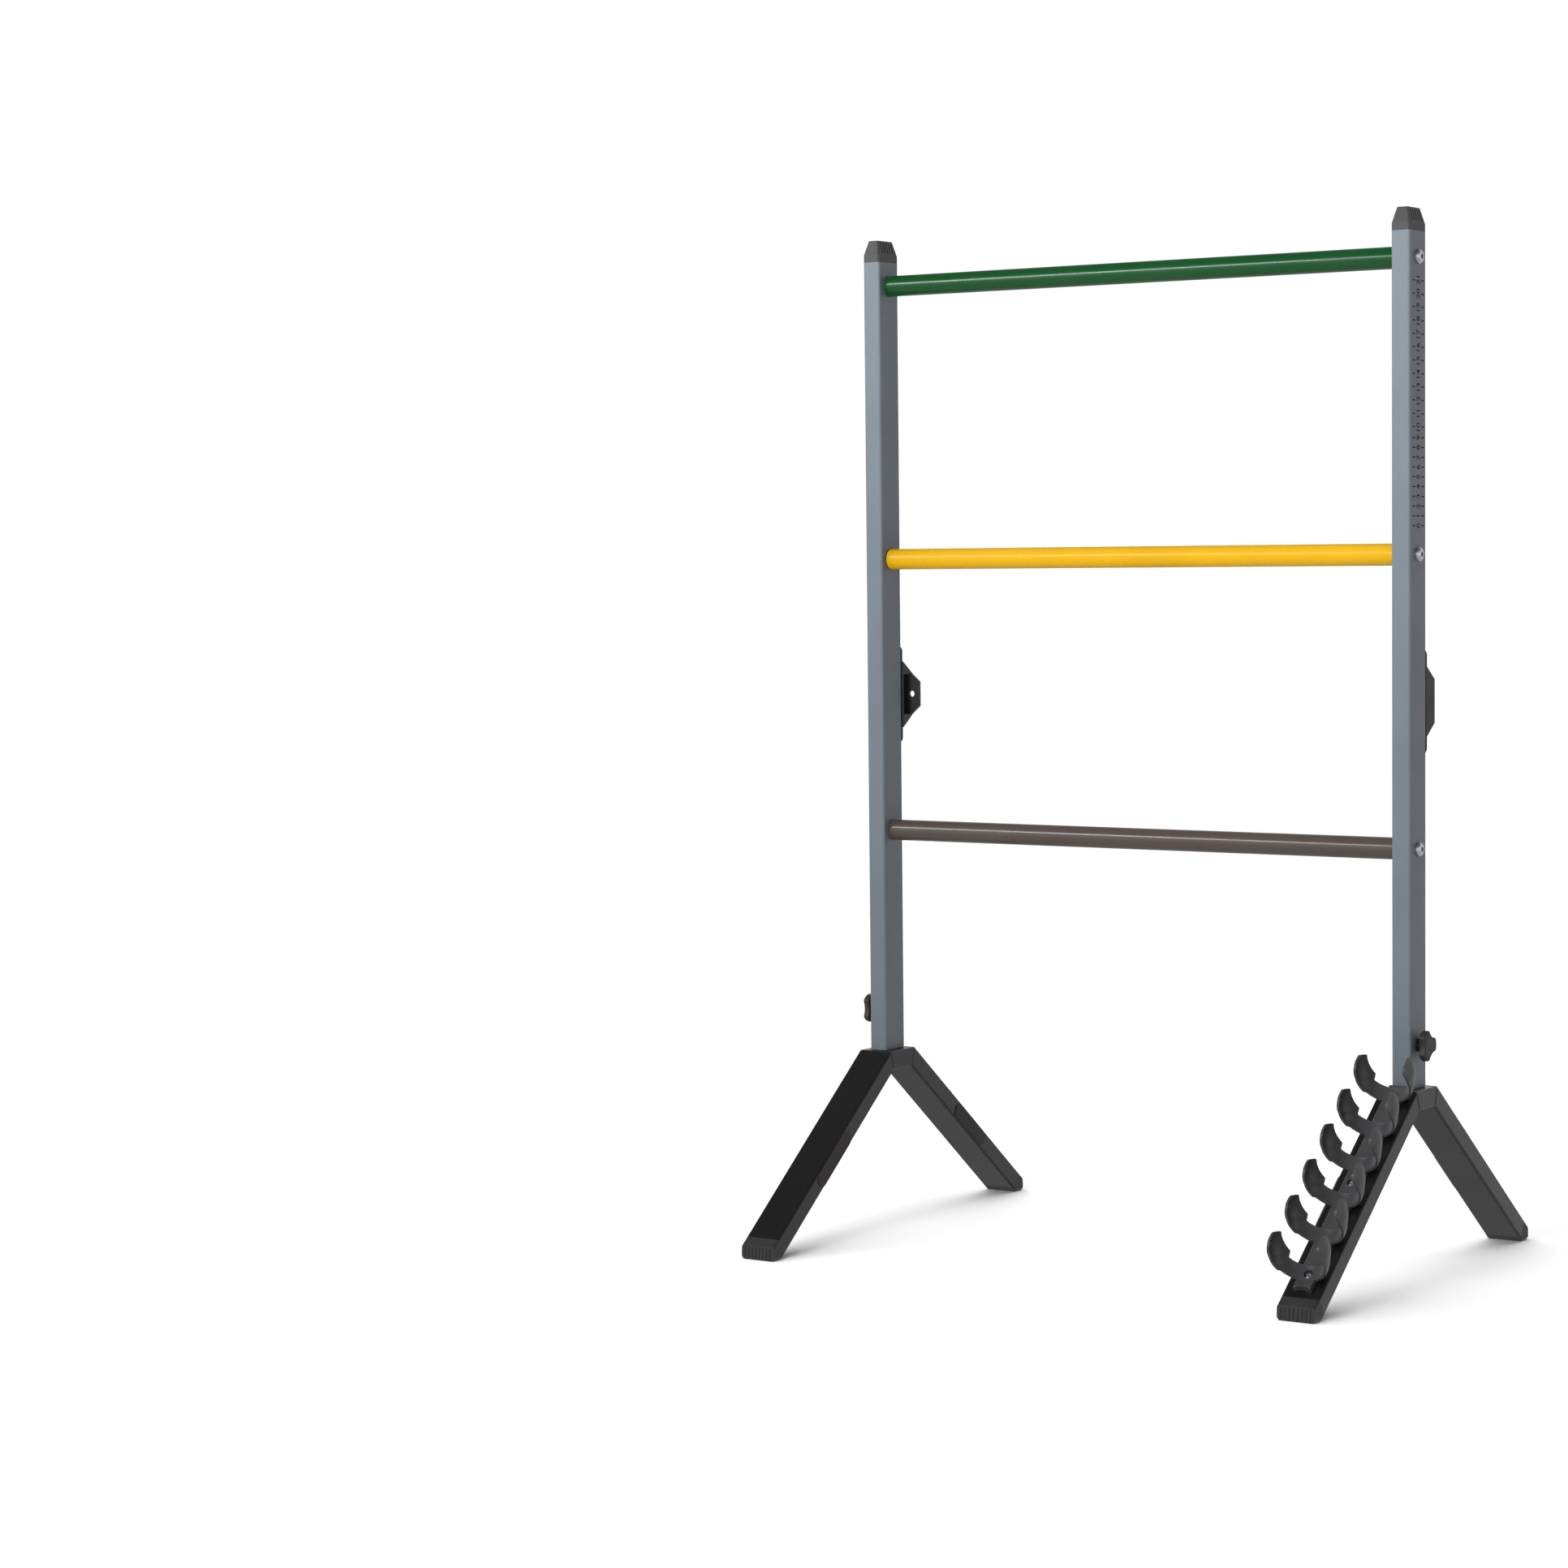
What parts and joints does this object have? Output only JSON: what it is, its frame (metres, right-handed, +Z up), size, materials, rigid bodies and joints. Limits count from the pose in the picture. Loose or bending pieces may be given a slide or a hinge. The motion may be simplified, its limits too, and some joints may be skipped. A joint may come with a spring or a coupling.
{
  "type": "ladder toss frame",
  "caption": "Free-standing target frame for ladder toss: an upright ladder of round rungs on A-shaped leg sets, clamp knobs at the sides and a row of ball cradles down a front leg.",
  "frame": {"origin": "middle of the base on the floor", "axes": "+X along the rungs towards the side with the ball rack, +Y to the rear, +Z up"},
  "size_m": [0.6631, 0.5132, 1.055],
  "materials": {
    "upright_paint": "satin slate grey powder coat",
    "black_paint": "satin black powder coat",
    "rung_green": "satin green powder coat",
    "rung_yellow": "satin yellow powder coat",
    "rung_taupe": "satin taupe powder coat",
    "black_moulding": "fine-grained black moulding",
    "rack_moulding": "satin dark grey moulding",
    "pad_rubber": "black-brown rubber",
    "zinc": "bright zinc plating"
  },
  "bodies": {
    "ladder": {"left_upright": "upright_paint", "left_upright_cap": "black_moulding", "bottom_rung_left_plug": "black_moulding", "middle_rung_left_plug": "black_moulding", "top_rung_left_plug": "black_moulding", "left_rung_nuts": "zinc", "left_rung_bolts": "zinc", "left_storage_bracket": "black_moulding", "left_bracket_screws": "zinc", "left_knob_boss": "black_paint", "right_upright": "upright_paint", "right_upright_cap": "black_moulding", "bottom_rung_right_plug": "black_moulding", "middle_rung_right_plug": "black_moulding", "top_rung_right_plug": "black_moulding", "right_rung_nuts": "zinc", "right_rung_bolts": "zinc", "right_storage_bracket": "black_moulding", "right_bracket_screws": "zinc", "right_knob_boss": "black_paint", "bottom_rung": "rung_taupe", "middle_rung": "rung_yellow", "top_rung": "rung_green"},
    "left_leg_set": {"left_bridge": "black_paint", "left_stub": "black_paint", "left_front_leg": "black_paint", "left_front_foot": "black_moulding", "left_front_pad": "pad_rubber", "left_rear_leg": "black_paint", "left_rear_foot": "black_moulding", "left_rear_pad": "pad_rubber"},
    "right_leg_set": {"right_bridge": "black_paint", "right_stub": "black_paint", "right_front_leg": "black_paint", "right_front_foot": "black_moulding", "right_front_pad": "pad_rubber", "right_rear_leg": "black_paint", "right_rear_foot": "black_moulding", "right_rear_pad": "pad_rubber", "ball_rack_rail": "rack_moulding", "ball_cradle_1": "rack_moulding", "ball_cradle_2": "rack_moulding", "ball_cradle_3": "rack_moulding", "ball_cradle_4": "rack_moulding", "ball_cradle_5": "rack_moulding", "ball_cradle_6": "rack_moulding", "rack_screws": "zinc"},
    "left_stud": {"left_knob_stud": "zinc"},
    "right_stud": {"right_knob_stud": "zinc"},
    "left_knob_head": {"left_knob": "black_moulding"},
    "right_knob_head": {"right_knob": "black_moulding"}
  },
  "joints": [
    {"name": "left_leg_set_slide", "type": "slide", "parent": "ladder", "child": "left_leg_set", "axis": [0, 0, -1], "range_m": [0, 0.06]},
    {"name": "left_stud_travel", "type": "slide", "parent": "ladder", "child": "left_stud", "axis": [-1, 0, 0], "range_m": [0, 0.00313]},
    {"name": "left_knob_turn", "type": "hinge", "parent": "left_stud", "child": "left_knob_head", "pos_m": [-0.3245, 0.0056, 0.233], "axis": [-1, 0, 0], "range_deg": [0, 900]},
    {"name": "right_leg_set_slide", "type": "slide", "parent": "ladder", "child": "right_leg_set", "axis": [0, 0, -1], "range_m": [0, 0.06]},
    {"name": "right_stud_travel", "type": "slide", "parent": "ladder", "child": "right_stud", "axis": [1, 0, 0], "range_m": [0, 0.00313]},
    {"name": "right_knob_turn", "type": "hinge", "parent": "right_stud", "child": "right_knob_head", "pos_m": [0.3245, 0.0056, 0.233], "axis": [1, 0, 0], "range_deg": [0, 900]}
  ],
  "couplings": [
    {"joint": "left_stud_travel", "follows": "left_knob_turn", "m_per_rad": 0.00019894},
    {"joint": "right_stud_travel", "follows": "right_knob_turn", "m_per_rad": 0.00019894}
  ]
}
